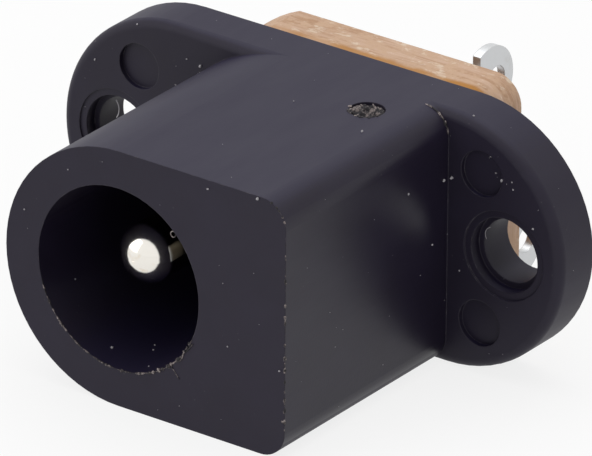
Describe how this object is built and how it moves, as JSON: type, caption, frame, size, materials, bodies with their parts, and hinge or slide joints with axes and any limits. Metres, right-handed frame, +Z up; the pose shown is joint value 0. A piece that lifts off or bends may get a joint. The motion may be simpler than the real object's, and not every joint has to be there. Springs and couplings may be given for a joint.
{
  "type": "dc barrel jack",
  "caption": "Panel-mounted DC power socket with a D-shaped black housing, a two-screw oval flange, a centre pin, a phenolic terminal board and eyelet solder lugs.",
  "frame": {"origin": "on the bore axis, in the plane of the flange's front face", "axes": "+X to the block's flat side, along the flange; +Y along the bore to the solder lugs; +Z up"},
  "size_m": [0.0199, 0.0159, 0.009],
  "materials": {
    "black_plastic": "moulded, slightly satin",
    "phenolic_paper": "laminated paper, fibrous where it is cut",
    "nickel_plate": "bright nickel on brass",
    "tin_plate": "satin tin on brass"
  },
  "bodies": {
    "root": {"housing": "black_plastic", "back_board": "phenolic_paper", "centre_pin": "nickel_plate", "pin_lug": "tin_plate", "sleeve_spring": "tin_plate", "switch_contact": "tin_plate"}
  },
  "joints": []
}
